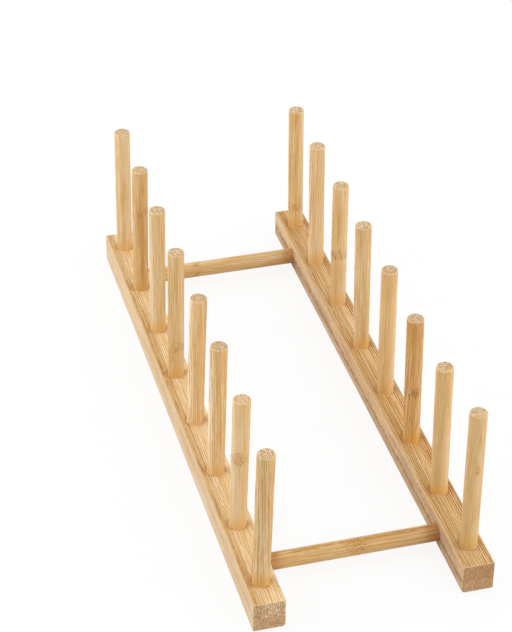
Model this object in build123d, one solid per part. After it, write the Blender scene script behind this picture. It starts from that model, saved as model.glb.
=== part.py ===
from build123d import *
import os

# Free-standing rack for pot lids, in millimetres.
# Two bars lie side by side on the table, and upright dowels stand along each of them.
# A lid stands on edge across both bars, in the slot between neighbouring dowels.
# +X runs across the rack, +Y along the bars from front to rear, and +Z up.
# The origin is the centre of the footprint, on the table.

# Driving dimensions
SLOT_COUNT = 7
SLOT_PITCH = 44.0
END_MARGIN = 16.0
RAIL_WIDTH = 16.5
RAIL_HEIGHT = 16.5
RAIL_SPACING = 106.5
DOWEL_DIAMETER = 9.0
POST_STANDS_OUT = 79.5
SOCKET_DEPTH = 10.0
GLUE_LINE = 0.05
POST_TOP_ROUNDING = 1.0
RAIL_EDGE_ROUNDING = 0.6
RAIL_INNER_FOOT_ROUNDING = 1.8

# Worked out from them
RAIL_LENGTH = SLOT_COUNT * SLOT_PITCH + 2 * END_MARGIN
POST_COUNT = SLOT_COUNT + 1
POST_LENGTH = POST_STANDS_OUT + SOCKET_DEPTH
SOCKET_RADIUS = DOWEL_DIAMETER / 2 + GLUE_LINE
CROSS_DOWEL_LENGTH = RAIL_SPACING - RAIL_WIDTH + 2 * SOCKET_DEPTH
FIRST_POST_Y = END_MARGIN - RAIL_LENGTH / 2
FRONT_CROSS_Y = FIRST_POST_Y + SLOT_PITCH / 2
CROSS_DOWEL_Y = {"front": FRONT_CROSS_Y, "rear": -FRONT_CROSS_Y}
POST_Y = [FIRST_POST_Y + SLOT_PITCH * index for index in range(POST_COUNT)]
SIDES = {"left": -1, "right": 1}


def rail_section():
    """The left bar's cross-section: its inner foot corner is rounded more than the rest."""
    outline = Rectangle(RAIL_WIDTH, RAIL_HEIGHT, align=(Align.CENTER, Align.MIN))
    inner_foot = Vector(RAIL_WIDTH / 2, 0)
    by_distance = outline.vertices().sort_by_distance(inner_foot)
    section = fillet(by_distance[1:], RAIL_EDGE_ROUNDING)
    return fillet(section.vertices().sort_by_distance(inner_foot)[0], RAIL_INNER_FOOT_ROUNDING)


def rail_bar():
    """The left bar before drilling."""
    return extrude(Plane.XZ * rail_section(), amount=RAIL_LENGTH / 2, both=True)


def post_sockets():
    """Blind holes, drilled down from the top face."""
    drill = Cylinder(
        SOCKET_RADIUS,
        SOCKET_DEPTH,
        align=(Align.CENTER, Align.CENTER, Align.MIN),
    )
    floor_z = RAIL_HEIGHT - SOCKET_DEPTH
    return [Pos(0, y, floor_z) * drill for y in POST_Y]


def cross_dowel_sockets():
    """Blind holes, drilled into the inner face of the left bar at half its height."""
    drill = Cylinder(SOCKET_RADIUS, SOCKET_DEPTH, rotation=(0, 90, 0))
    middle_x = RAIL_WIDTH / 2 - SOCKET_DEPTH / 2
    return [Pos(middle_x, y, RAIL_HEIGHT / 2) * drill for y in CROSS_DOWEL_Y.values()]


def left_rail():
    """The drilled left bar in its place. The right one is its mirror image."""
    bar = rail_bar()
    for hole in post_sockets() + cross_dowel_sockets():
        bar = bar - hole
    return Pos(-RAIL_SPACING / 2, 0, 0) * bar


def post():
    """An upright dowel that stands on the origin, with its top edge rounded."""
    dowel = Cylinder(
        DOWEL_DIAMETER / 2,
        POST_LENGTH,
        align=(Align.CENTER, Align.CENTER, Align.MIN),
    )
    top_edge = dowel.edges().filter_by(GeomType.CIRCLE).sort_by(Axis.Z)[-1]
    return fillet(top_edge, POST_TOP_ROUNDING)


def cross_dowel():
    """A dowel along X that ends at the floor of a socket in each bar."""
    return Cylinder(DOWEL_DIAMETER / 2, CROSS_DOWEL_LENGTH, rotation=(0, 90, 0))


def rack():
    """Every piece of the rack in its place, by name."""
    pieces = {"left_rail": left_rail()}
    pieces["right_rail"] = mirror(pieces["left_rail"], about=Plane.YZ)
    for side, sign in SIDES.items():
        for number, y in enumerate(POST_Y, start=1):
            place = Pos(sign * RAIL_SPACING / 2, y, RAIL_HEIGHT - SOCKET_DEPTH)
            pieces[f"{side}_post_{number}"] = place * post()
    for end, y in CROSS_DOWEL_Y.items():
        pieces[f"{end}_cross_dowel"] = Pos(0, y, RAIL_HEIGHT / 2) * cross_dowel()
    return pieces


os.makedirs("parts", exist_ok=True)
for name, piece in rack().items():
    export_step(piece, f"parts/{name}.step")
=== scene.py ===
"""Bamboo pot lid rack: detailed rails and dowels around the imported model, in metres."""

import math
import random
from dataclasses import dataclass

import bpy
import numpy as np
from mathutils import Matrix, Vector, noise


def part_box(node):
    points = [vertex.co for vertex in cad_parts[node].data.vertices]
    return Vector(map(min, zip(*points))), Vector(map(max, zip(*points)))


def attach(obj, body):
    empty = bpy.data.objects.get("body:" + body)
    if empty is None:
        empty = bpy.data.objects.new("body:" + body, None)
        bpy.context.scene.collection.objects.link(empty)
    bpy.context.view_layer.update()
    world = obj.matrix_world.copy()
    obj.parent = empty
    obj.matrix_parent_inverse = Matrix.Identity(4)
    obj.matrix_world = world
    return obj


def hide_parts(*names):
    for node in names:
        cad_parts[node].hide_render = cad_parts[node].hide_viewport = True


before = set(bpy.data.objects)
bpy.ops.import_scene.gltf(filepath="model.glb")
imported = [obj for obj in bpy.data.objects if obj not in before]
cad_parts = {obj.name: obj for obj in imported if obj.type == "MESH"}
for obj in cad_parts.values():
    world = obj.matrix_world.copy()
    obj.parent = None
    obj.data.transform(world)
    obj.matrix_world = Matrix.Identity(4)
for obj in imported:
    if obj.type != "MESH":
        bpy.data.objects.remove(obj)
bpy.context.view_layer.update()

MM = 0.001
SIDES = ("left", "right")
INWARDS = {"left": 1, "right": -1}     # the way along X that a rail's inner face looks

# The rack's own sizes, read from the frame
RAIL_LOW, RAIL_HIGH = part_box("left_rail")
RAIL_WIDTH = RAIL_HIGH.x - RAIL_LOW.x
RAIL_LENGTH = RAIL_HIGH.y - RAIL_LOW.y
RAIL_TOP = RAIL_HIGH.z
RAIL_X = {side: sum(corner.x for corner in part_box(f"{side}_rail")) / 2 for side in SIDES}
POST_LOW, POST_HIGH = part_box("left_post_1")
POST_LENGTH = POST_HIGH.z - POST_LOW.z
POST_COUNT = sum(name.startswith("left_post_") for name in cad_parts)
FIRST_POST_Y = (POST_LOW.y + POST_HIGH.y) / 2
POST_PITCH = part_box("left_post_2")[0].y - POST_LOW.y
DOWEL_RADIUS = (POST_HIGH.x - POST_LOW.x) / 2
SOCKET_DEPTH = RAIL_TOP - POST_LOW.z

# The photograph's camera, fitted to the rack: its turns, its lens and where it sees the rack's front foot
VIEW_AZIMUTH = math.radians(-15.532)
VIEW_ELEVATION = math.radians(34.756)
VIEW_ROLL = math.radians(0.445)
VIEW_LENS = 119.71
VIEW_SENSOR = 36.0
VIEW_CLIP = (0.01, 50.0)
FRONT_FOOT_FROM_LENS = Vector((57.862, -143.231, -1025.441)) * MM


# Mesh helpers

CLOSEST_RINGS = 0.09 * MM
PLACE_DECIMALS = 7


def mesh_object(name, vertices, faces, smooth=True):
    """A new mesh object at the origin, linked to the scene."""
    mesh = bpy.data.meshes.new(name)
    mesh.from_pydata([tuple(v) for v in vertices], [], faces)
    mesh.validate()
    piece = bpy.data.objects.new(name, mesh)
    bpy.context.scene.collection.objects.link(piece)
    if smooth:
        mesh.shade_smooth()
    return piece


def skin(loops, low_cap=None, high_cap=None):
    """Vertices and faces of a closed skin over equal loops; a cap is a point, or None for a flat face."""
    count = len(loops[0])
    vertices = [point for loop in loops for point in loop]
    faces = []
    for row in range(len(loops) - 1):
        low, high = row * count, (row + 1) * count
        for column in range(count):
            after = (column + 1) % count
            faces.append((low + column, low + after, high + after, high + column))
    last = (len(loops) - 1) * count
    if low_cap is None:
        faces.append(tuple(reversed(range(count))))
    else:
        centre = len(vertices)
        vertices.append(low_cap)
        faces += [(centre, (c + 1) % count, c) for c in range(count)]
    if high_cap is None:
        faces.append(tuple(last + c for c in range(count)))
    else:
        centre = len(vertices)
        vertices.append(high_cap)
        faces += [(centre, last + c, last + (c + 1) % count) for c in range(count)]
    return vertices, faces


def stations(low, high, step, dense):
    """Places from low to high, a step apart, and closer within each (centre, reach, step) of dense."""
    places = set(np.round(np.linspace(low, high, int((high - low) / step) + 1), PLACE_DECIMALS))
    for centre, reach, fine in dense:
        start, stop = max(low, centre - reach), min(high, centre + reach)
        closer = np.linspace(start, stop, int((stop - start) / fine) + 2)
        places |= set(np.round(closer, PLACE_DECIMALS))
    ordered = sorted(places)
    kept = [ordered[0]]
    for place in ordered[1:]:
        if place - kept[-1] > CLOSEST_RINGS:
            kept.append(place)
    kept[-1] = ordered[-1]
    return kept


def ripple(x, y, z, size, seed):
    """Smooth noise from -1 to 1 at a place in metres, with features of the given size."""
    return noise.noise(Vector((x / size + seed, y / size - seed, z / size + 3.7 * seed)))


# Dowels

DOWEL_SEGMENTS = 80
FOOT_ROUNDING = 0.4 * MM
RING_STEP = 0.9 * MM
JOINT_RINGS = (4.5 * MM, 0.35 * MM)
MOUTH_RINGS = (0.8 * MM, 0.12 * MM)
GLUE_RIM_REACH = 1.2 * MM
MOST_RELIEF = 0.4 * MM
SIDE_SUNK = 0.03 * MM
QUARTER_TURN = math.pi / 2


@dataclass
class Culm:
    """The bamboo one dowel is cut from, in mm, with strengths from 0 to about 1.

    Tones are lighter above 0 and darker below; warmth goes from pale straw to honey. The dowel is
    painted paler towards the side where the light falls, given in degrees, as painted side light, and
    its bamboo is turned about its length, in radians. A joint is its height and its slant, and marks is
    how close together its dashes are. A knot is a patch of dark spots: its height, its side in degrees,
    and its reach along and across.
    """

    seed: int
    tone: float = 0.0
    warmth: float = 0.0
    # Painted side light: how much paler the dowel is painted towards its lit side, and that side in
    # degrees
    painted_side_light: float = 0.0
    lit_side: float = 0.0
    lines: float = 0.3
    spacing: float = 0.8
    turn: float = 0.0
    grain: float = 0.85
    streaks: float = 1.0
    joint: tuple = ()
    knots: tuple = ()
    spots: float = 0.9
    slits: float = 0.7
    slit_length: float = 1.2
    slit_width: float = 0.25
    stagger: float = 3.3
    marks: float = 1.3
    ridge: float = 0.3
    # Strength of the painted warm bounce light and shade where the dowel leaves its socket
    painted_shading: float = 0.4
    top_tone: float = 0.0
    rounding: float = 1.0


def lies_down(name):
    """True for a dowel that lies along X between the rails, and False for a post."""
    return name.endswith("cross_dowel")


def dowel_profile(length, culm, mouth):
    """Radius and height of each ring of a dowel, from near the middle of its foot to that of its top."""
    foot, top = FOOT_ROUNDING, culm.rounding * MM
    rim, flat = DOWEL_RADIUS - foot, DOWEL_RADIUS - top
    dense = []
    if culm.joint:
        dense.append((culm.joint[0] * MM, *JOINT_RINGS))
    if mouth is not None:
        dense.append((mouth, *MOUTH_RINGS))
    profile = [(rim - inset, 0.0) for inset in np.linspace(3.4 * MM, 0.6 * MM, 5)]
    for turn in np.linspace(0, QUARTER_TURN, 4):
        profile.append((rim + foot * math.sin(turn), foot - foot * math.cos(turn)))
    profile += [(DOWEL_RADIUS, z) for z in stations(foot, length - top, RING_STEP, dense)[1:-1]]
    for turn in np.linspace(0, QUARTER_TURN, 9):
        profile.append((flat + top * math.cos(turn), length - top + top * math.sin(turn)))
    profile += [(flat * share, length) for share in (0.86, 0.7, 0.54, 0.38, 0.2)]
    return profile


def dowel_loops(length, culm, mouth):
    """Rings of a dowel from z = 0 to its length, with its uneven side and top."""
    uneven = 1.5 * culm.rounding * MM
    turns = np.linspace(0, math.tau, DOWEL_SEGMENTS, endpoint=False)
    loops = []
    for radius, z in dowel_profile(length, culm, mouth):
        loop = []
        for turn in turns:
            cos, sin = math.cos(turn), math.sin(turn)
            out = radius + side_relief(cos, sin, z, culm, mouth) * radius / DOWEL_RADIUS
            up = z
            if z > length - uneven:
                up += top_relief(out * cos, out * sin, culm.seed) * (z - length + uneven) / uneven
            loop.append((out * cos, out * sin, up))
        loops.append(loop)
    return loops


def side_relief(cos, sin, z, culm, mouth):
    """How far a dowel's side stands out from true round: faint flats, its joint and a rim of glue."""
    x, y = DOWEL_RADIUS * cos, DOWEL_RADIUS * sin
    relief = 0.035 * MM * ripple(x, y, z / 18, 3.1 * MM, culm.seed)
    relief += 0.02 * MM * ripple(x, y, z / 5, 1.1 * MM, culm.seed + 9)
    if culm.joint:
        relief += joint_relief(x, y, z, culm)
    if mouth is not None and 0 <= z - mouth < GLUE_RIM_REACH:
        relief += glue_rim(x, y, z - mouth, culm.seed)
    return min(relief, MOST_RELIEF) - SIDE_SUNK


def joint_relief(x, y, z, culm):
    """The faint ridge round a dowel at its joint, and the groove just above the ridge."""
    height, slant = culm.joint
    gap = z - height * MM - slant * x
    gap += 0.5 * MM * ripple(x, y, z, 2.5 * MM, culm.seed + 4)
    ridge = 0.07 * MM * math.exp(-((gap / (1.3 * MM)) ** 2))
    groove = 0.06 * MM * math.exp(-(((gap - 2.0 * MM) / (0.8 * MM)) ** 2))
    return ridge - groove


def glue_rim(x, y, above, seed):
    """Thickness of the uneven bead of glue round a post, at a height above the mouth of its socket."""
    bead = max(0.0, 0.5 + ripple(x, y, 0, 3.5 * MM, seed + 21))
    share = above / ((0.2 + 0.45 * bead) * MM)
    return 0.28 * MM * bead * (1 - share) ** 2 if share < 1 else 0.0


def top_relief(x, y, seed):
    """Unevenness of the sawn and sanded end, never above the dowel's length."""
    coarse = 0.05 * MM * (1 + ripple(x, y, 0, 1.3 * MM, seed + 2))
    fine = 0.03 * MM * (1 + ripple(x, y, 0, 0.45 * MM, seed + 5))
    return -coarse - fine


def dowel(name, length, culm, place, mouth=None):
    """A detailed dowel that replaces the node of that name, put in its place by a matrix.

    The mouth is how far up a post the mouth of its socket is; a cross dowel has no rim of glue.
    """
    top = (0.0, 0.0, length + top_relief(0.0, 0.0, culm.seed))
    vertices, faces = skin(dowel_loops(length, culm, mouth), (0.0, 0.0, 0.0), top)
    piece = mesh_object(f"{name}_bamboo", vertices, faces)
    piece.data.transform(place)
    piece.data.materials.append(dowel_material(name, length, culm, place.to_translation()))
    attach(piece, "root")
    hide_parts(name)


# Rails

RAIL_SEED = {"left": 11.0, "right": 23.0}
RAIL_EDGE = 0.6 * MM
RAIL_INNER_FOOT = 1.8 * MM
RAIL_END_EDGE = 0.35 * MM
LEAST_ROUNDING = 0.04 * MM
EDGE_BAND = 0.15
END_CORE_INSET = 7.3 * MM
RAIL_RING_STEP = 1.7 * MM
RAIL_END_RINGS = (6 * MM, 0.45 * MM)
FRAYED_LENGTH = 0.9 * MM
FRAYED_DEPTH = 1.0 * MM
GLUE_LINE = 0.06 * MM
DRILL_OVERSHOOT = 2 * MM
DRILL_SEGMENTS = 72


def rail_outline(inset, side):
    """Points round a rail's cross-section, moved inwards by inset; the inner foot corner is roundest."""
    half = RAIL_WIDTH / 2
    foot_edge = {INWARDS[side]: RAIL_INNER_FOOT, -INWARDS[side]: RAIL_EDGE}
    corners = [
        (half, 0.0, foot_edge[1], -90),
        (half, RAIL_TOP, RAIL_EDGE, 0),
        (-half, RAIL_TOP, RAIL_EDGE, 90),
        (-half, 0.0, foot_edge[-1], 180),
    ]
    arcs = []
    for x, z, edge, start in corners:
        radius = max(edge - inset, LEAST_ROUNDING)
        centre_x = x - math.copysign(inset + radius, x)
        centre_z = (inset + radius) if z == 0 else (RAIL_TOP - inset - radius)
        arc = []
        for degrees in np.linspace(start, start + 90, 6):
            angle = math.radians(degrees)
            arc.append((centre_x + radius * math.cos(angle), centre_z + radius * math.sin(angle)))
        arcs.append(arc)
    points = []
    for arc, following in zip(arcs, arcs[1:] + arcs[:1]):
        points += arc
        for share in np.linspace(0, 1, 30)[1:-1]:
            points.append(tuple(a + (b - a) * share for a, b in zip(arc[-1], following[0])))
    return points


def rail_relief(x, y, z, seed):
    """Shift of a point on a rail's surface: planing waves, and dents and frays along the long edges."""
    wave = 0.03 * MM * ripple(x, y / 12, z, 4 * MM, seed)
    from_middle = abs(x) / (RAIL_WIDTH / 2) + abs(z - RAIL_TOP / 2) / (RAIL_TOP / 2)
    edge = max(0.0, from_middle - 2 + EDGE_BAND) / EDGE_BAND
    dent = max(0.0, ripple(x, y, z, 5 * MM, seed + 7) - 0.35) * 0.35 * MM
    fray = (1 + ripple(x, y, z, 0.8 * MM, seed + 3)) * 0.04 * MM
    return wave - edge * (dent + fray)


def rail_rings():
    """How far inwards each ring of a rail lies, and its Y: the front end, the sides and the rear end."""
    half_length = RAIL_LENGTH / 2
    edge = RAIL_END_EDGE
    front = [(inset, -half_length) for inset in np.linspace(END_CORE_INSET, edge, 14)[:-1]]
    for degrees in (0, 30, 60, 90):
        turn = math.radians(degrees)
        front.append((edge * (1 - math.sin(turn)), edge * (1 - math.cos(turn)) - half_length))
    ends = [(sign * half_length, *RAIL_END_RINGS) for sign in (-1, 1)]
    middle = stations(edge - half_length, half_length - edge, RAIL_RING_STEP, ends)
    rear = [(inset, -y) for inset, y in reversed(front)]
    return front + [(0.0, y) for y in middle[1:-1]] + rear


def rail_point(x, y, z, inset, seed):
    """A point of a rail's skin with its unevenness; the ends are frayed round their edges."""
    out = Vector((x, z - RAIL_TOP / 2)).normalized()
    shift = rail_relief(x, y, z, seed)
    near_end = max(0.0, 1 - (RAIL_LENGTH / 2 - abs(y)) / FRAYED_LENGTH)
    sunk = 0.0
    if near_end:
        sunk = 0.045 * MM * (1 + ripple(x, 0, z, 0.7 * MM, seed + y)) * near_end
    if near_end and inset < FRAYED_DEPTH:
        shift -= near_end * 0.1 * MM * (1 + ripple(x, y, z, 0.55 * MM, seed + 5))
    return (x + out.x * shift, y - math.copysign(sunk, y), max(0.0, z + out.y * shift))


def rail_skin(side):
    """A rail's skin along Y, with eased and slightly frayed ends."""
    loops = []
    for inset, y in rail_rings():
        outline = rail_outline(inset, side)
        loops.append([rail_point(x, y, z, inset, RAIL_SEED[side]) for x, z in outline])
    return skin(loops)


def socket_drills(side):
    """The bottom of each of a rail's sockets, and a point past its mouth."""
    reach = SOCKET_DEPTH + DRILL_OVERSHOOT
    drills = []
    for index in range(POST_COUNT):
        place = post_place(f"{side}_post_{index + 1}")
        drills.append((place @ Vector((0, 0, 0)), place @ Vector((0, 0, reach))))
    for end in ("front", "rear"):
        low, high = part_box(f"{end}_cross_dowel")
        middle = (low + high) / 2
        bottom = Vector((low.x if side == "left" else high.x, middle.y, middle.z))
        drills.append((bottom, bottom + Vector((INWARDS[side] * reach, 0, 0))))
    return drills


def cutter(bottom, mouth):
    """A cylinder that drills one blind socket, wider than its dowel by the line of glue."""
    radius = DOWEL_RADIUS + GLUE_LINE
    turn = (mouth - bottom).to_track_quat("Z", "Y")
    angles = np.linspace(0, math.tau, DRILL_SEGMENTS, endpoint=False)
    loops = [
        [bottom + turn @ Vector((radius * math.cos(a), radius * math.sin(a), height)) for a in angles]
        for height in (0.0, (mouth - bottom).length)
    ]
    return mesh_object("drill", *skin(loops), smooth=False)


def drill_sockets(piece, cutters):
    """Cuts the cutters out of the piece, and deletes them."""
    for tool in cutters:
        cut = piece.modifiers.new("socket", "BOOLEAN")
        cut.operation = "DIFFERENCE"
        cut.solver = "EXACT"
        cut.object = tool
    evaluated = piece.evaluated_get(bpy.context.evaluated_depsgraph_get())
    mesh = bpy.data.meshes.new_from_object(evaluated)
    piece.modifiers.clear()
    piece.data = mesh
    for tool in cutters:
        bpy.data.objects.remove(tool)


def rail(side):
    """A detailed rail with its sockets, which replaces the node."""
    name = f"{side}_rail"
    piece = mesh_object(f"{name}_bamboo", *rail_skin(side))
    piece.data.transform(Matrix.Translation((RAIL_X[side], 0, 0)))
    drill_sockets(piece, [cutter(bottom, mouth) for bottom, mouth in socket_drills(side)])
    piece.data.shade_smooth()
    piece.data.materials.clear()
    piece.data.materials.append(rail_material(side))
    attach(piece, "root")
    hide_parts(name)


# Shader nodes

# Where a Mix node of each kind has its factor, its two values and its result, and Vector Math its scale
MIX_SOCKETS = {"RGBA": (0, 6, 7, 2), "FLOAT": (0, 2, 3, 0)}
SCALE_SOCKET = 3


class Graph:
    """Adds shader nodes to a tree; a value may be a number, a tuple or another node's output."""

    def __init__(self, tree):
        self.tree = tree

    def node(self, kind, inputs=None, **settings):
        """A new node with these settings and inputs."""
        made = self.tree.nodes.new(kind)
        for key, value in settings.items():
            setattr(made, key, value)
        for key, value in (inputs or {}).items():
            self.set(made.inputs[key], value)
        return made

    def set(self, socket, value):
        """Links the socket to a node's output, or gives it a plain value."""
        if isinstance(value, bpy.types.NodeSocket):
            self.tree.links.new(value, socket)
        else:
            socket.default_value = value

    def math(self, operation, *values):
        """The result of an operation on numbers."""
        return self.node("ShaderNodeMath", dict(enumerate(values)), operation=operation).outputs[0]

    def plus(self, a, b):
        return self.math("ADD", a, b)

    def minus(self, a, b):
        return self.math("SUBTRACT", a, b)

    def times(self, a, b):
        return self.math("MULTIPLY", a, b)

    def scaled(self, value, factor, shift):
        """The value times the factor, plus the shift."""
        return self.math("MULTIPLY_ADD", value, factor, shift)

    def swayed(self, value, wave, reach):
        """The value moved by a noise around 0.5, by up to half the reach each way."""
        return self.scaled(wave, reach, self.minus(value, reach / 2))

    def vector(self, operation, *vectors, scale=1.0):
        """The result of an operation on vectors; only SCALE uses the scale."""
        inputs = {**dict(enumerate(vectors)), SCALE_SOCKET: scale}
        made = self.node("ShaderNodeVectorMath", inputs, operation=operation)
        return made.outputs[1 if operation in ("LENGTH", "DOT_PRODUCT") else 0]

    def turned(self, place, turn, shift=(0.0, 0.0, 0.0)):
        """The place turned about X, Y and Z, in radians, and then shifted."""
        inputs = {"Vector": place, "Rotation": turn, "Location": shift}
        return self.node("ShaderNodeMapping", inputs).outputs[0]

    def combine(self, x, y, z):
        """A vector of three numbers."""
        return self.node("ShaderNodeCombineXYZ", {"X": x, "Y": y, "Z": z}).outputs[0]

    def separate(self, value):
        """The X, Y and Z of a vector."""
        return self.node("ShaderNodeSeparateXYZ", {0: value}).outputs

    def step(self, value, start, stop, low=0.0, high=1.0):
        """A smooth change from low to high as the value goes from start to stop, level beyond them."""
        inputs = {"Value": value, "From Min": start, "From Max": stop, "To Min": low, "To Max": high}
        return self.node("ShaderNodeMapRange", inputs, interpolation_type="SMOOTHSTEP").outputs[0]

    def noise(self, place, pace=None, detail=1.0, roughness=0.5, colour=False):
        """Smooth noise around 0.5, or three as a colour; pace is its changes per mm in X, Y and Z."""
        if pace is not None:
            place = self.vector("MULTIPLY", place, pace)
        inputs = {"Vector": place, "Scale": 1.0, "Detail": detail, "Roughness": roughness}
        return self.node("ShaderNodeTexNoise", inputs).outputs["Color" if colour else 0]

    def cells(self, dimensions, **inputs):
        """Scattered cells: the distance from the nearest one, its random colour, and that in parts."""
        inputs = {key.title(): value for key, value in inputs.items()}
        made = self.node("ShaderNodeTexVoronoi", inputs, voronoi_dimensions=dimensions)
        colour = made.outputs["Color"]
        parts = self.node("ShaderNodeSeparateColor", {0: colour}).outputs
        return made.outputs["Distance"], colour, parts

    def mix(self, factor, a, b, kind="RGBA", way="MIX"):
        """From colour a to colour b as the factor goes from 0 to 1."""
        made = self.node("ShaderNodeMix", data_type=kind, blend_type=way, clamp_factor=True)
        *taken, result = MIX_SOCKETS[kind]
        for index, value in zip(taken, (factor, a, b)):
            self.set(made.inputs[index], value)
        return made.outputs[result]

    def blend(self, factor, a, b):
        """From number a to number b as the factor goes from 0 to 1."""
        return self.mix(factor, a, b, kind="FLOAT")


def srgb(red, green, blue):
    """A colour given in the 0 to 255 of a screen, as the shader's linear values."""
    def linear(value):
        value /= 255
        return value / 12.92 if value <= 0.04045 else ((value + 0.055) / 1.055) ** 2.4
    return (linear(red), linear(green), linear(blue), 1.0)


def new_material(name):
    """An empty node material, and its graph."""
    material = bpy.data.materials.new(name)
    material.use_nodes = True
    material.node_tree.nodes.clear()
    return material, Graph(material.node_tree)


# Bamboo

PALE = srgb(240, 215, 177)
STRAW = srgb(225, 189, 132)
HONEY = srgb(203, 150, 82)
BUNDLE = srgb(142, 84, 30)
OCHRE = srgb(170, 114, 46)
SLIT = srgb(120, 62, 12)
GLUE = srgb(124, 66, 12)
# Painted warm bounce light at a post's foot, and painted shade at a cross dowel's ends
PAINTED_BOUNCE_LIGHT = srgb(226, 171, 76)
PAINTED_SOCKET_SHADE = srgb(166, 94, 28)
# Partly glue residue, partly painted contact shade round the posts' feet
STAIN_AND_SHADE = srgb(160, 114, 62)
SPOT = srgb(130, 80, 14)
FLECK = srgb(240, 212, 168)
# Painted sheen: a pale grey painted on the rails' side faces in place of a grazing reflection
PAINTED_SHEEN = srgb(222, 209, 196)
SAWN_GROUND = srgb(157, 114, 73)
SAWN_FIBRE = srgb(252, 231, 198)
SANDED_GROUND = srgb(184, 138, 86)
SANDED_FIBRE = srgb(255, 238, 207)
MIDDLE = (0.5, 0.5, 0.5)
FAR_FROM_JOINT = 100.0
NUMBER = "NodeSocketFloat"
COLOUR = "NodeSocketColor"

# What the bamboo group takes: socket, kind, and value where a piece doesn't give one
BAMBOO_INPUTS = (
    ("Vector", "NodeSocketVector", (0.0, 0.0, 0.0)),
    ("Gap", NUMBER, FAR_FROM_JOINT),
    ("Tone", NUMBER, 0.0),
    ("Warmth", NUMBER, 0.0),
    ("Streaks", NUMBER, 1.0),
    ("Spacing", NUMBER, 0.8),
    ("Lines", NUMBER, 0.4),
    ("Line Color", COLOUR, BUNDLE),
    ("Width", NUMBER, 0.16),
    ("Dashes", NUMBER, 0.9),
    ("Slits", NUMBER, 0.7),
    ("Slit Length", NUMBER, 1.2),
    ("Slit Width", NUMBER, 0.25),
    ("Stagger", NUMBER, 3.3),
    ("Marks", NUMBER, 1.3),
    ("Ridge", NUMBER, 0.3),
    ("Spots", NUMBER, 0.0),
    ("Cut", NUMBER, 0.0),
    ("Grain", NUMBER, 0.8),
    ("Caps", NUMBER, 0.9),
    ("Sanded", NUMBER, 0.0),
)
BAMBOO_OUTPUTS = (
    ("Color", COLOUR),
    ("Roughness", NUMBER),
    ("Height", NUMBER),
)


def wandering_fibres(g, place, from_joint):
    """The place as the fibres have it: they drift sideways, and then waver too, most near a joint."""
    drift = g.vector("SUBTRACT", g.noise(place, (0.1, 0.1, 0.012), colour=True), MIDDLE)
    drifting = g.vector("ADD", place, g.vector("SCALE", drift, scale=2.2))
    swirl = g.vector("SUBTRACT", g.noise(place, (0.45, 0.45, 0.35), colour=True), MIDDLE)
    strength = g.scaled(g.step(from_joint, 4.5, 1.0), 1.3, 0.45)
    return drifting, g.vector("ADD", drifting, g.vector("SCALE", swirl, scale=strength))


def dark_lines(g, given, wandering):
    """Dark bundles of fibres in layers across X, each broken up along its length."""
    layer = g.math("DIVIDE", g.separate(wandering)["X"], given["Spacing"])
    distance, colour, parts = g.cells("1D", w=layer, scale=1.0, randomness=0.55)
    half = g.times(g.scaled(parts["Red"], 0.7, 0.65), given["Width"])
    bundle = g.step(distance, g.plus(half, 0.06), g.minus(half, 0.05))
    strength = g.step(parts["Green"], 0.0, 0.8, 0.6, 1.0)
    along = g.vector("MULTIPLY", given["Vector"], (0.0, 0.5, 0.11))
    own_place = g.vector("ADD", along, g.vector("SCALE", colour, scale=90.0))
    faint = g.minus(1.0, given["Dashes"])
    broken = g.step(g.noise(own_place, detail=2.0), 0.3, 0.55, faint, 1.0)
    return g.times(g.times(bundle, strength), broken)


def straw_colour(g, given, wandering, fine, cloud):
    """Pale straw to honey, in fine fibres, broad bands and clouds."""
    band = g.noise(wandering, (0.55, 0.3, 0.01), 2.0, 0.6)
    streaks = g.scaled(band, 2.2, g.scaled(fine, 3.2, -2.7))
    warmth = g.scaled(streaks, given["Streaks"], given["Warmth"])
    warmth = g.swayed(warmth, cloud, 0.9)
    colour = g.mix(g.step(warmth, -1.0, 0.15), PALE, STRAW)
    return g.mix(g.step(warmth, 0.0, 1.2), colour, HONEY)


def lined(g, given, wandering, line, colour):
    """The colour with its dark lines and short pores."""
    pores = g.step(g.noise(wandering, (5.0, 3.0, 0.35)), 0.58, 0.74)
    colour = g.mix(g.times(line, given["Lines"]), colour, given["Line Color"])
    return g.mix(g.times(pores, g.times(given["Lines"], 0.28)), colour, given["Line Color"])


def jointed(g, given, drifting, from_joint, colour):
    """The colour with a joint's warm band, staggered dark slits and pale flecks; and the slits."""
    colour = g.mix(g.step(from_joint, 4.8, 0.8, 0.0, 0.3), colour, HONEY)
    distance, _, parts = g.cells("2D", vector=drifting, scale=given["Marks"])
    stagger = g.times(g.scaled(parts["Blue"], 2.0, -1.0), given["Stagger"])
    along = g.math("ABSOLUTE", g.minus(given["Gap"], stagger))
    length, width = given["Slit Length"], given["Slit Width"]
    narrow = g.step(distance, g.plus(width, 0.1), g.minus(width, 0.05))
    dash = g.times(g.step(along, length, g.times(length, 0.5)), narrow)
    dash = g.times(dash, g.step(from_joint, 5.6, 4.6))
    fleck = g.times(dash, g.step(parts["Red"], 0.3, 0.24, 0.0, 0.7))
    slit = g.times(g.times(dash, g.step(parts["Red"], 0.24, 0.34)), given["Slits"])
    return g.mix(slit, g.mix(fleck, colour, FLECK), SLIT), slit


def joint_scar(g, given, fine, cloud):
    """A thin broken scar across the fibres at a joint."""
    from_scar = g.math("ABSOLUTE", g.swayed(given["Gap"], fine, 2.4))
    scar = g.times(g.step(from_scar, 0.5, 0.1), g.step(cloud, 0.42, 0.6))
    return g.times(scar, given["Ridge"])


def knotted(g, given, colour):
    """The colour with a knot's small dark spots in a patch of warmer wood."""
    flattened = g.vector("MULTIPLY", given["Vector"], (1.0, 1.0, 0.7))
    distance, _, parts = g.cells("3D", vector=flattened, scale=1.1)
    spots = g.times(g.step(distance, 0.5, 0.2), g.step(parts["Red"], 0.3, 0.7))
    colour = g.mix(g.times(given["Spots"], 0.4), colour, HONEY)
    return g.mix(g.times(spots, given["Spots"]), colour, SPOT)


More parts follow.
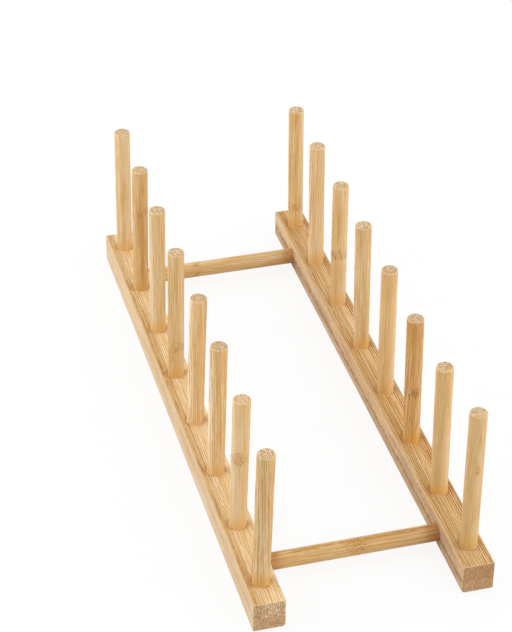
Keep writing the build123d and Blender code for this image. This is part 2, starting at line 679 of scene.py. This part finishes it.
def end_grain(g, given, wandering):
    """Pale fibre caps on a darker ground, paler all over where it is sanded; and the caps."""
    size = g.combine(given["Grain"], given["Grain"], 1.0)
    cell_place = g.vector("DIVIDE", wandering, size)
    distance, _, parts = g.cells("2D", vector=cell_place, scale=1.0, randomness=0.22)
    reach = g.scaled(parts["Red"], 0.16, 0.2)
    caps = g.step(distance, g.plus(reach, 0.16), g.minus(reach, 0.04))
    caps = g.times(caps, g.step(parts["Green"], 0.1, 0.6, 0.3, 1.0))
    caps = g.times(caps, given["Caps"])
    blotch = g.noise(given["Vector"], (0.7, 0.7, 0.1), 2.0, 0.6)
    speck = g.noise(given["Vector"], (3.4, 3.4, 0.5))
    ground = g.mix(given["Sanded"], SAWN_GROUND, SANDED_GROUND)
    ground = g.mix(g.step(blotch, 0.4, 0.75, 0.0, 0.55), ground, HONEY)
    ground = g.mix(g.step(speck, 0.45, 0.75, 0.0, 0.5), ground, STRAW)
    fibre = g.mix(given["Sanded"], SAWN_FIBRE, SANDED_FIBRE)
    return g.mix(caps, ground, fibre), caps


def bamboo_group():
    """Solid bamboo, in mm: fibres run along Z, close together across X and flattened across Y."""
    tree = bpy.data.node_groups.new("bamboo", "ShaderNodeTree")
    for name, kind, value in BAMBOO_INPUTS:
        tree.interface.new_socket(name, in_out="INPUT", socket_type=kind).default_value = value
    for name, kind in BAMBOO_OUTPUTS:
        tree.interface.new_socket(name, in_out="OUTPUT", socket_type=kind)
    g = Graph(tree)
    given = g.node("NodeGroupInput").outputs
    from_joint = g.math("ABSOLUTE", given["Gap"])
    drifting, wandering = wandering_fibres(g, given["Vector"], from_joint)
    fine = g.noise(wandering, (2.0, 1.1, 0.05), 3.0, 0.6)
    cloud = g.noise(given["Vector"], (0.14, 0.14, 0.035))

    line = dark_lines(g, given, wandering)
    colour = straw_colour(g, given, wandering, fine, cloud)
    colour = lined(g, given, wandering, line, colour)
    colour, slit = jointed(g, given, drifting, from_joint, colour)
    scar = joint_scar(g, given, fine, cloud)
    colour = knotted(g, given, g.mix(scar, colour, BUNDLE))
    end, caps = end_grain(g, given, wandering)
    colour = g.mix(given["Cut"], colour, end)
    lift = g.plus(1.0, given["Tone"])
    colour = g.mix(1.0, colour, g.combine(lift, lift, lift), way="MULTIPLY")

    rough = g.scaled(line, 0.1, g.scaled(fine, 0.2, 0.45))
    rough = g.scaled(given["Cut"], 0.25, rough)
    height = g.scaled(fine, 0.5, g.times(line, -0.5))
    height = g.scaled(slit, -1.0, height)
    height = g.scaled(scar, 0.6, height)
    height = g.scaled(g.times(caps, given["Cut"]), 1.2, height)
    g.node("NodeGroupOutput", {"Color": colour, "Roughness": rough, "Height": height})


def bamboo(g, values):
    """The outputs of the bamboo group, given these inputs."""
    return g.node("ShaderNodeGroup", values, node_tree=bpy.data.node_groups["bamboo"]).outputs


def place_in_mm(g, origin):
    """The point's place in mm from an origin in metres."""
    spot = g.node("ShaderNodeTexCoord").outputs["Object"]
    return g.vector("SCALE", g.vector("SUBTRACT", spot, tuple(origin)), scale=1 / MM)


def end_masks(g, axis):
    """Two masks: 1 where the surface faces along the fibres, and 1 on the rounded edge round an end."""
    normal = g.node("ShaderNodeNewGeometry").outputs["Normal"]
    facing = g.math("ABSOLUTE", g.vector("DOT_PRODUCT", normal, axis))
    rim = g.times(g.step(facing, 0.1, 0.4), g.step(facing, 0.95, 0.8))
    return g.step(facing, 0.6, 0.92), rim


def finish_material(g, colour, roughness, height, gloss):
    """A satin shader with a fine relief."""
    relief = g.node("ShaderNodeBump", {"Height": height, "Distance": 0.05 * MM, "Strength": 0.8})
    shader = g.node(
        "ShaderNodeBsdfPrincipled",
        {
            "Base Color": colour,
            "Roughness": roughness,
            "Normal": relief.outputs[0],
            "IOR": 1.5,
            "Specular IOR Level": gloss,
            "Sheen Weight": 0.08,
            "Sheen Roughness": 0.4,
        },
    )
    g.node("ShaderNodeOutputMaterial", {"Surface": shader.outputs[0]})


# The dowels' bamboo

DOWEL_GLOSS = 0.28

# How far a dowel's bamboo is shifted at most, its radius and its sockets' depth, in mm
DOWEL_OFFSET = 400
RADIUS_MM = DOWEL_RADIUS / MM
SOCKET_MM = SOCKET_DEPTH / MM


def from_dowel_joint(g, culm, spot, parts):
    """How far above its joint, which slants and wavers, each point of a dowel lies."""
    if not culm.joint:
        return FAR_FROM_JOINT
    height, slant = culm.joint
    tilted = g.scaled(parts["X"], -slant, parts["Z"])
    return g.swayed(g.minus(tilted, height), g.noise(spot, (0.4, 0.4, 0.4)), 2.0)


def knot_patches(g, culm, spot):
    """How strong the dark spots of a dowel's knots are at each point."""
    patches = 0.0
    for height, side, along, across in culm.knots:
        turn = math.radians(side)
        centre = (math.cos(turn) * RADIUS_MM, math.sin(turn) * RADIUS_MM, height)
        away = g.vector("DIVIDE", g.vector("SUBTRACT", spot, centre), (across, across, along))
        away = g.swayed(g.vector("LENGTH", away), g.noise(spot, (0.5, 0.5, 0.4), 2.0), 1.2)
        patches = g.math("MAXIMUM", g.step(away, 1.2, 0.7, 0.0, culm.spots), patches)
    return patches


def painted_socket_light_and_shade(g, culm, spot, from_end):
    """How strongly painted warm bounce light and painted shade colour a dowel where it leaves its socket.
    """
    from_end = g.scaled(g.noise(spot, (0.6, 0.6, 0.15), 2.0), -6.0, from_end)
    return g.step(from_end, SOCKET_MM + 9.0, SOCKET_MM - 1.0, 0.0, culm.painted_shading)


def dowel_warmth_and_side_light(g, culm, spot):
    """A dowel's warmth, which falls off towards its lit side: painted side light."""
    side = math.radians(culm.lit_side)
    # Painted side light: the colour is made paler towards the side that the light falls on
    towards_lit_side = g.vector("DOT_PRODUCT", spot, (math.cos(side), math.sin(side), 0.0))
    return g.scaled(g.math("DIVIDE", towards_lit_side, RADIUS_MM), -culm.painted_side_light, culm.warmth)


def dowel_material(name, length, culm, foot):
    """Bamboo for one dowel, cut from its own culm, with painted warm bounce light and shade where it
    leaves its socket.
    """
    material, g = new_material(f"{name}_bamboo")
    spot = place_in_mm(g, foot)
    if lies_down(name):
        spot = g.turned(spot, (0.0, -QUARTER_TURN, 0.0))
    parts = g.separate(spot)
    cut, rim = end_masks(g, (1.0, 0.0, 0.0) if lies_down(name) else (0.0, 0.0, 1.0))
    rng = random.Random(culm.seed)
    offset = tuple(rng.uniform(-DOWEL_OFFSET, DOWEL_OFFSET) for _ in range(3))
    wood = bamboo(g, {
        "Vector": g.turned(spot, (0.0, 0.0, culm.turn), offset),
        "Gap": from_dowel_joint(g, culm, spot, parts),
        "Tone": g.blend(cut, culm.tone, culm.top_tone),
        "Warmth": dowel_warmth_and_side_light(g, culm, spot),
        "Streaks": culm.streaks,
        "Lines": culm.lines,
        "Line Color": OCHRE,
        "Spacing": culm.spacing,
        "Grain": culm.grain,
        "Slits": culm.slits,
        "Slit Length": culm.slit_length,
        "Slit Width": culm.slit_width,
        "Stagger": culm.stagger,
        "Marks": culm.marks,
        "Ridge": culm.ridge,
        "Spots": knot_patches(g, culm, spot),
        "Cut": cut,
        "Caps": 1.0,
        "Sanded": 1.0,
    })
    at_top = g.step(parts["Z"], SOCKET_MM + 4.0, SOCKET_MM + 6.0)
    colour = g.mix(g.times(g.times(rim, at_top), 0.35), wood["Color"], FLECK)
    from_end = parts["Z"]
    if lies_down(name):
        from_end = g.math("MINIMUM", from_end, g.minus(length / MM, from_end))
    # Painted warm bounce light on a post, and painted shade on a cross dowel, where it leaves its socket
    painted_shading = painted_socket_light_and_shade(g, culm, spot, from_end)
    colour = g.mix(painted_shading, colour, PAINTED_SOCKET_SHADE if lies_down(name) else PAINTED_BOUNCE_LIGHT)
    finish_material(g, colour, wood["Roughness"], wood["Height"], DOWEL_GLOSS)
    return material


# The rails' bamboo

RAIL_GLOSS = 0.22

# How far a rail's and a strip's bamboo is shifted, the lower ply's height and where joints fall, in mm
RAIL_OFFSET = 300
STRIP_SHIFT = (71.3, 37.9, 113.7)
PLY_MM = 7.3
JOINT_PITCH = 260.0
STRIP_JOINT_SHIFT = 67.0


@dataclass
class Strip:
    """One strip of a laminated rail: its colour, its lines' spacing and strength, and its end grain."""

    tone: float
    warmth: float
    spacing: float
    lines: float
    end_tone: float
    grain: float
    caps: float


@dataclass
class RailLook:
    """How a rail is laid up and how it looks, in mm, with strengths from 0 to about 1.

    The strips are the lower left, lower right, upper left and upper right ones. The seams are the X
    between the strips of the lower and of the upper ply, and the worn streak's place is an X too, all
    from the rail's middle. The glue between the plies has its strength on the rail's left and right half.
    """

    strips: tuple
    seams: tuple
    joint_y: float
    line_colour: tuple
    line_width: float
    dashes: float
    side_lines: float
    glue_reach: float
    glue_strength: tuple
    streak_x: float
    mottle: float
    # Strength of the painted sheen on the side faces
    painted_side_sheen: float


RAIL_LOOKS = {
    "left": RailLook(
        strips=(
            Strip(-0.04, -0.15, 0.8, 0.3, 0.12, 0.64, 0.65),
            Strip(-0.03, -0.1, 0.8, 0.3, 0.12, 0.64, 0.65),
            Strip(0.01, 0.2, 1.1, 0.8, -0.05, 0.76, 0.8),
            Strip(0.1, -0.35, 1.1, 0.75, 0.09, 0.76, 1.0),
        ),
        seams=(2.0, -4.2),
        joint_y=-120.0,
        line_colour=OCHRE,
        line_width=0.17,
        dashes=0.9,
        side_lines=0.35,
        glue_reach=0.3,
        glue_strength=(0.12, 0.2),
        streak_x=-6.5,
        mottle=0.09,
        painted_side_sheen=0.25,
    ),
    "right": RailLook(
        strips=(
            Strip(-0.07, 0.2, 1.0, 0.8, 0.03, 0.85, 0.5),
            Strip(-0.06, 0.2, 1.0, 0.8, 0.1, 0.7, 0.35),
            Strip(-0.01, 0.35, 1.1, 0.8, 0.03, 0.7, 0.25),
            Strip(0.06, 0.2, 1.15, 1.0, 0.05, 0.6, 0.2),
        ),
        seams=(1.0, -2.6),
        joint_y=-118.0,
        line_colour=BUNDLE,
        line_width=0.18,
        dashes=0.5,
        side_lines=0.6,
        glue_reach=2.4,
        glue_strength=(0.76, 0.42),
        streak_x=7.0,
        mottle=0.55,
        painted_side_sheen=0.21,
    ),
}


def pick(g, index, values):
    """The value whose place in the list is the index, which is a node's output."""
    chosen = values[0]
    for number, value in enumerate(values[1:], start=1):
        chosen = g.blend(g.math("GREATER_THAN", index, number - 0.5), chosen, value)
    return chosen


def strip_and_seam(g, look, parts):
    """The number of the strip that a point lies in, and the X of the seam in its ply."""
    upper = g.math("GREATER_THAN", parts["Z"], PLY_MM)
    seam_x = g.blend(upper, *look.seams)
    right_of = g.math("GREATER_THAN", parts["X"], seam_x)
    return g.scaled(upper, 2.0, right_of), seam_x


def strip_place(g, side, strip, along):
    """A point's place in the culm that its strip is cut from."""
    rng = random.Random(side)
    offset = tuple(rng.uniform(-RAIL_OFFSET, RAIL_OFFSET) for _ in range(3))
    shift = g.vector("ADD", g.vector("SCALE", STRIP_SHIFT, scale=strip), offset)
    return g.vector("ADD", along, shift)


def from_strip_joint(g, look, strip, parts, wobble):
    """How far past the nearest joint of its strip, which wavers, each point lies."""
    joint = g.scaled(strip, STRIP_JOINT_SHIFT, look.joint_y)
    gap = g.math("WRAP", g.minus(parts["Y"], joint), JOINT_PITCH / 2, -JOINT_PITCH / 2)
    return g.swayed(gap, wobble, 4.0)


def worn_streak(g, look, spot, parts, faces_up, wobble):
    """A dark worn streak along the top face, which comes and goes."""
    away = g.math("ABSOLUTE", g.swayed(g.minus(parts["X"], look.streak_x), wobble, 1.6))
    worn = g.step(g.noise(spot, (0.3, 0.06, 0.3), 3.0), 0.4, 0.62, 0.0, 0.55)
    on_top = g.math("GREATER_THAN", faces_up, 0.5)
    return g.times(g.times(g.step(away, 0.7, 0.15), worn), on_top)


def glue_seams(g, look, spot, parts, seam_x):
    """A wavy, patchy line of glue between the plies, and a thin one between the strips of a ply."""
    wavy = g.noise(spot, (0.5, 0.07, 0.5), 3.0)
    to_ply = g.math("ABSOLUTE", g.swayed(g.minus(parts["Z"], PLY_MM), wavy, 1.6))
    patchy = g.step(g.noise(spot, (1.5, 0.35, 1.5), 3.0), 0.43, 0.56, 0.15, 1.0)
    strength = g.blend(g.math("GREATER_THAN", parts["X"], 0.0), *look.glue_strength)
    glue = g.times(g.times(g.step(to_ply, look.glue_reach, 0.2), patchy), strength)
    seam = g.step(g.math("ABSOLUTE", g.minus(parts["X"], seam_x)), 0.2, 0.05, 0.0, 0.25)
    return g.math("MAXIMUM", glue, seam)


def pale_edges(g, parts, ragged):
    """Paler wood along the rail's long edges."""
    half_width, half_height = RAIL_WIDTH / MM / 2, RAIL_TOP / MM / 2
    across = g.math("DIVIDE", g.math("ABSOLUTE", parts["X"]), half_width)
    from_middle = g.math("ABSOLUTE", g.minus(parts["Z"], half_height))
    upwards = g.math("DIVIDE", from_middle, half_height)
    to_edge = g.swayed(g.math("MINIMUM", across, upwards), ragged, 0.12)
    return g.step(to_edge, 0.88, 0.97, 0.0, 0.45)


def post_stains_and_shade(g, parts, faces_up, ragged):
    """A darker mark on the top face, beside and behind each post: partly glue residue, partly painted
    contact shade.
    """
    half_pitch = POST_PITCH / MM / 2
    past_post = g.math("WRAP", g.minus(parts["Y"], FIRST_POST_Y / MM), half_pitch, -half_pitch)
    from_post = g.vector("LENGTH", g.combine(parts["X"], past_post, 0.0))
    from_post = g.swayed(g.minus(from_post, RADIUS_MM), ragged, 2.4)
    stain_and_shade = g.times(g.step(from_post, 3.2, 0.2, 0.0, 0.55), g.step(faces_up, 0.3, 0.9))
    return g.times(stain_and_shade, g.step(past_post, -4.5, -1.0))


def rail_material(side):
    """Laminated bamboo: strips side by side in an upper and a lower ply, each from its own culm."""
    material, g = new_material(f"{side}_rail_bamboo")
    look = RAIL_LOOKS[side]
    spot = place_in_mm(g, (RAIL_X[side], 0.0, 0.0))
    parts = g.separate(spot)
    strip, seam_x = strip_and_seam(g, look, parts)
    along = g.combine(parts["X"], parts["Z"], parts["Y"])
    wobble = g.noise(along, (0.35, 0.35, 0.35))
    normal = g.separate(g.node("ShaderNodeNewGeometry").outputs["Normal"])
    faces_side = g.step(g.math("ABSOLUTE", normal["X"]), 0.3, 0.9)
    cut, rim = end_masks(g, (0.0, 1.0, 0.0))

    def of_strip(quality):
        """What the strip at each point has of a quality."""
        return pick(g, strip, [getattr(one, quality) for one in look.strips])

    mottle = g.minus(g.noise(spot, (0.9, 0.4, 0.9), 3.0, 0.6), 0.5)
    tone = g.plus(of_strip("tone"), g.times(mottle, g.times(faces_side, look.mottle)))
    wood = bamboo(g, {
        "Vector": strip_place(g, side, strip, along),
        "Gap": from_strip_joint(g, look, strip, parts, wobble),
        "Tone": g.blend(cut, tone, of_strip("end_tone")),
        "Warmth": of_strip("warmth"),
        "Spacing": of_strip("spacing"),
        "Lines": g.times(of_strip("lines"), g.blend(faces_side, 1.0, look.side_lines)),
        "Line Color": look.line_colour,
        "Width": look.line_width,
        "Dashes": look.dashes,
        "Grain": of_strip("grain"),
        "Caps": of_strip("caps"),
        "Cut": cut,
    })
    streak = worn_streak(g, look, spot, parts, normal["Z"], wobble)
    colour = g.mix(streak, wood["Color"], BUNDLE)
    # Painted sheen: the side faces are painted paler and greyer, standing in for a grazing reflection
    colour = g.mix(g.times(faces_side, look.painted_side_sheen), colour, PAINTED_SHEEN)
    glue = g.times(glue_seams(g, look, spot, parts, seam_x), g.minus(1.0, cut))
    colour = g.mix(glue, colour, GLUE)
    frayed = g.step(g.noise(spot, (1.4, 1.4, 1.4), 2.0), 0.3, 0.6, 0.3, 0.9)
    colour = g.mix(g.times(rim, frayed), colour, FLECK)
    ragged = g.noise(spot, (1.2, 0.4, 1.2), 2.0)
    colour = g.mix(pale_edges(g, parts, ragged), colour, FLECK)
    # Partly glue residue, partly painted contact shade beside and behind each post
    colour = g.mix(post_stains_and_shade(g, parts, normal["Z"], ragged), colour, STAIN_AND_SHADE)
    height = g.scaled(glue, -0.2, wood["Height"])
    finish_material(g, colour, g.plus(wood["Roughness"], 0.15), height, RAIL_GLOSS)
    return material


# The rack

CULMS = {
    "left_post_1": Culm(
        1, tone=-0.01, warmth=0.12, painted_side_light=0.1, lit_side=-130, lines=0.75, spacing=1.0, grain=0.9,
        painted_shading=0.55, rounding=1.6,
    ),
    "left_post_2": Culm(
        2, tone=0.05, warmth=-0.2, painted_side_light=0.25, lit_side=180, lines=0.35, grain=0.7, streaks=0.6,
        joint=(55.0, 0.1), knots=((55.2, -95, 4.4, 3.0),), spots=0.7, slits=0.0, ridge=0.0, top_tone=0.1,
    ),
    "left_post_3": Culm(
        3, tone=0.1, warmth=0.02, painted_side_light=0.5, lit_side=180, lines=0.8, painted_shading=0.3, top_tone=-0.06,
        rounding=0.9,
    ),
    "left_post_4": Culm(
        4, tone=0.11, warmth=-0.1, painted_side_light=0.5, lit_side=180, lines=0.7, streaks=0.8, painted_shading=0.25,
        top_tone=-0.06, rounding=0.8,
    ),
    "left_post_5": Culm(
        5, tone=0.02, warmth=0.1, painted_side_light=0.2, lit_side=40, lines=0.4, joint=(30.0, -0.1),
    ),
    "left_post_6": Culm(6, tone=0.02, warmth=-0.1, painted_side_light=0.3, lit_side=200, lines=0.5),
    "left_post_7": Culm(
        7, warmth=0.3, painted_side_light=0.3, lit_side=90, lines=0.4, joint=(63.0, 0.2), slit_length=2.0,
    ),
    "left_post_8": Culm(8, tone=0.03, painted_side_light=0.2, lit_side=300),
    "right_post_1": Culm(
        9, tone=-0.04, warmth=0.1, painted_side_light=0.25, lit_side=-20, lines=0.25, turn=1.5, grain=1.0,
        streaks=0.6, knots=((57.5, -89, 4.6, 2.4),), top_tone=0.04, rounding=1.1,
    ),
    "right_post_2": Culm(
        10, tone=0.01, warmth=0.12, painted_side_light=0.2, lit_side=-20, lines=0.25, turn=1.5, streaks=0.6,
        painted_shading=0.65, top_tone=-0.04, rounding=1.8,
    ),
    "right_post_3": Culm(
        11, tone=0.04, warmth=0.7, painted_side_light=0.3, lit_side=-20, lines=0.9, streaks=1.1, joint=(44.0, 0.12),
        slits=0.75, slit_length=2.6, slit_width=0.38, stagger=1.6, marks=1.7, ridge=0.1, painted_shading=0.8,
        top_tone=-0.09, rounding=1.2,
    ),
    "right_post_4": Culm(
        12, tone=0.06, warmth=0.2, painted_side_light=0.2, lit_side=-20, lines=0.25, streaks=0.5, painted_shading=0.3,
        top_tone=-0.08,
    ),
    "right_post_5": Culm(13, painted_side_light=0.2, lit_side=60, lines=0.5),
    "right_post_6": Culm(
        14, tone=0.03, warmth=0.4, painted_side_light=0.3, lit_side=-70, joint=(45.0, 0.1), slit_length=1.8,
    ),
    "right_post_7": Culm(15, tone=0.03, warmth=-0.2, painted_side_light=0.3, lit_side=150, lines=0.4),
    "right_post_8": Culm(16, tone=0.03, warmth=0.1, painted_side_light=0.2, lit_side=20, joint=(24.0, 0.15)),
    "front_cross_dowel": Culm(
        17, tone=-0.01, warmth=0.35, lines=0.6, streaks=0.8, joint=(57.0, 0.15),
        knots=((57.0, -145, 7.5, 4.2), (37.0, 170, 2.0, 2.0)), spots=0.85, painted_shading=0.6, rounding=0.4,
    ),
    "rear_cross_dowel": Culm(18, warmth=0.2, lines=0.5, joint=(40.0, 0.1), rounding=0.4),
}

# How far each post leans towards +X and +Y, in degrees, and how much further it stands out, in mm
LEANS = {
    "left_post_1": (1.3, -0.3, 0.1),
    "left_post_2": (1.3, -0.6, -0.4),
    "left_post_3": (1.4, -0.15, 0.0),
    "left_post_4": (1.7, -0.4, -0.15),
    "left_post_5": (0.9, 0.3, -0.1),
    "left_post_6": (0.7, -0.4, 0.2),
    "left_post_7": (1.0, 0.2, -0.3),
    "left_post_8": (0.5, -0.1, 0.0),
    "right_post_1": (0.45, 1.6, 1.5),
    "right_post_2": (-1.0, 0.0, -0.6),
    "right_post_3": (-1.3, -0.45, -1.1),
    "right_post_4": (-0.65, -0.1, -0.3),
    "right_post_5": (-0.8, 0.3, 0.1),
    "right_post_6": (-0.4, -0.3, -0.1),
    "right_post_7": (-0.7, 0.1, 0.2),
    "right_post_8": (-0.6, -0.2, 0.0),
}


def post_place(name):
    """Where a post stands: its foot is the origin, and it leans about the mouth of its socket."""
    low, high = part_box(name)
    middle = (low + high) / 2
    east, north, longer = LEANS[name]
    mouth = Matrix.Translation((middle.x, middle.y, RAIL_TOP))
    tilt = Matrix.Rotation(math.radians(east), 4, "Y") @ Matrix.Rotation(math.radians(-north), 4, "X")
    return mouth @ tilt @ Matrix.Translation((0, 0, longer * MM - SOCKET_DEPTH))


def build_rack():
    """Every rail and dowel, in its node's place."""
    bamboo_group()
    for side in SIDES:
        rail(side)
    for name, culm in CULMS.items():
        if lies_down(name):
            low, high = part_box(name)
            middle = (low + high) / 2
            start = Matrix.Translation((low.x, middle.y, middle.z))
            dowel(name, high.x - low.x, culm, start @ Matrix.Rotation(QUARTER_TURN, 4, "Y"))
        else:
            longer = LEANS[name][2] * MM
            dowel(name, POST_LENGTH, culm, post_place(name), mouth=SOCKET_DEPTH - longer)


# Stage, light and camera

WHITE = (1.0, 1.0, 1.0, 1.0)
PAPER = (0.8, 0.8, 0.8, 1.0)
WORLD_LIGHT = 0.4
FLOOR_REACH = 30.0
FLOOR_WHITE = 0.87
FLOOR_FADE = (0.3, 1.0)
LAMP_SIZE = 1.0
LAMP_DISTANCE = 1.3

# Each softbox's turn from the front towards +X and its height, in degrees, and its power in watts
LAMPS = {
    "left": (-105, 25, 9.6),
    "front": (30, 25, 6.0),
    "right": (78, 25, 3.4),
    "back": (165, 30, 4.5),
    "above": (0, 85, 2.7),
}


def seen_or_mirrored(g):
    """1 for a ray from the camera, off a glossy surface or through a clear one, and 0 for any other."""
    path = g.node("ShaderNodeLightPath").outputs
    bent = g.math("MAXIMUM", path["Is Glossy Ray"], path["Is Transmission Ray"])
    return g.math("MAXIMUM", path["Is Camera Ray"], bent)


def floor_material():
    """White paper that keeps the rack's shadow, fades into plain white and is clear from below."""
    material, g = new_material("floor")
    seen = seen_or_mirrored(g)
    lit = g.node("ShaderNodeBsdfDiffuse", {"Color": g.mix(seen, PAPER, WHITE)})
    white = g.node("ShaderNodeEmission", {"Strength": 1.0})
    away = g.vector("LENGTH", g.node("ShaderNodeTexCoord").outputs["Object"])
    share = g.times(seen, g.step(away, *FLOOR_FADE, FLOOR_WHITE, 1.0))
    paper = g.node("ShaderNodeMixShader", {0: share, 1: lit.outputs[0], 2: white.outputs[0]})
    clear = g.node("ShaderNodeBsdfTransparent")
    behind = g.node("ShaderNodeNewGeometry").outputs["Backfacing"]
    either = g.node("ShaderNodeMixShader", {0: behind, 1: paper.outputs[0], 2: clear.outputs[0]})
    g.node("ShaderNodeOutputMaterial", {"Surface": either.outputs[0]})
    return material


def floor():
    """A large white floor."""
    far = FLOOR_REACH
    corners = [(-far, -far, 0), (far, -far, 0), (far, far, 0), (-far, far, 0)]
    plane = mesh_object("floor", corners, [(0, 1, 2, 3)], smooth=False)
    plane.data.materials.append(floor_material())


def softbox(name, turn, height, power):
    """A square area lamp that faces the rack."""
    lamp = bpy.data.lights.new(name, "AREA")
    lamp.shape = "SQUARE"
    lamp.size = LAMP_SIZE
    lamp.energy = power
    made = bpy.data.objects.new(name, lamp)
    turn, height = math.radians(turn), math.radians(height)
    level = math.cos(height)
    out = Vector((math.sin(turn) * level, -math.cos(turn) * level, math.sin(height)))
    made.location = LAMP_DISTANCE * out
    made.rotation_mode = "QUATERNION"
    made.rotation_quaternion = (-out).to_track_quat("-Z", "Y")
    made.visible_camera = False
    bpy.context.scene.collection.objects.link(made)


def lights():
    """White surroundings and large softboxes."""
    world = bpy.data.worlds.new("white")
    world.use_nodes = True
    world.node_tree.nodes.clear()
    g = Graph(world.node_tree)
    strength = g.blend(seen_or_mirrored(g), WORLD_LIGHT, 1.0)
    background = g.node("ShaderNodeBackground", {"Color": WHITE, "Strength": strength})
    g.node("ShaderNodeOutputWorld", {"Surface": background.outputs[0]})
    bpy.context.scene.world = world
    for name, (turn, height, power) in LAMPS.items():
        softbox(name, turn, height, power)


def camera():
    """The photograph's viewpoint."""
    sin_a, cos_a = math.sin(VIEW_AZIMUTH), math.cos(VIEW_AZIMUTH)
    sin_e, cos_e = math.sin(VIEW_ELEVATION), math.cos(VIEW_ELEVATION)
    back = Vector((sin_a * cos_e, -cos_a * cos_e, sin_e))
    level = Vector((cos_a, sin_a, 0))
    upright = back.cross(level)
    right = math.cos(VIEW_ROLL) * level + math.sin(VIEW_ROLL) * upright
    up = math.cos(VIEW_ROLL) * upright - math.sin(VIEW_ROLL) * level
    axes = Matrix((right, up, back)).transposed()
    data = bpy.data.cameras.new("camera")
    data.lens = VIEW_LENS
    data.sensor_width = VIEW_SENSOR
    data.clip_start, data.clip_end = VIEW_CLIP
    made = bpy.data.objects.new("camera", data)
    front_foot = Vector((0.0, -RAIL_LENGTH / 2, 0.0))
    made.matrix_world = Matrix.Translation(front_foot - axes @ FRONT_FOOT_FROM_LENS) @ axes.to_4x4()
    bpy.context.scene.collection.objects.link(made)
    bpy.context.scene.camera = made


build_rack()
floor()
lights()
camera()
bpy.context.scene.view_settings.view_transform = "Standard"
